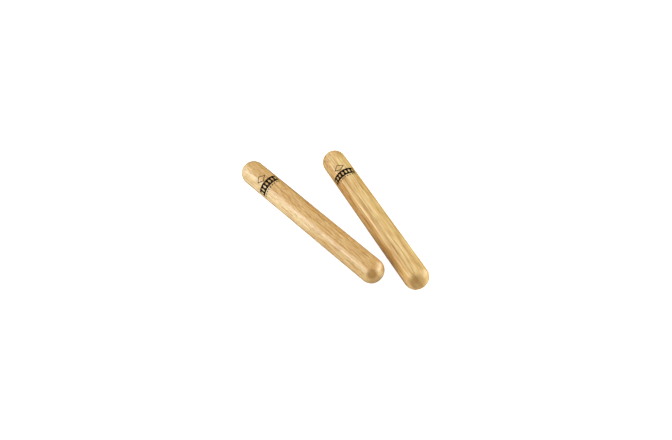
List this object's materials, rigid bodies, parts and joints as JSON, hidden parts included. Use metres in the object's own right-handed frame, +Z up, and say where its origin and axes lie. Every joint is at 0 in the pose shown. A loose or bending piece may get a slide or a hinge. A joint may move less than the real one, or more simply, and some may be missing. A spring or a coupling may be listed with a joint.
{
  "type": "claves",
  "caption": "Pair of plain turned hardwood claves: straight round sticks with rounded ends, lying splayed side by side, ready to be struck together.",
  "frame": {"origin": "on the surface that the pair lies on, under the middle of the box round both sticks", "axes": "+X along the sounding clave towards the ends that lie closer together, +Y from the sounding clave towards the striking clave, +Z up from the table"},
  "size_m": [0.2328, 0.1006, 0.025],
  "materials": {
    "sounding_wood": "gloss",
    "striking_wood": "gloss",
    "printed_ink": "satin"
  },
  "bodies": {
    "sounding_clave": {"sounding_clave": "sounding_wood"},
    "striking_clave": {"striking_clave": "striking_wood"}
  },
  "joints": [
    {"name": "striker_lift", "type": "slide", "parent": "sounding_clave", "child": "striking_clave", "axis": [0, 0, 1], "range_m": [0, 0.15]}
  ]
}
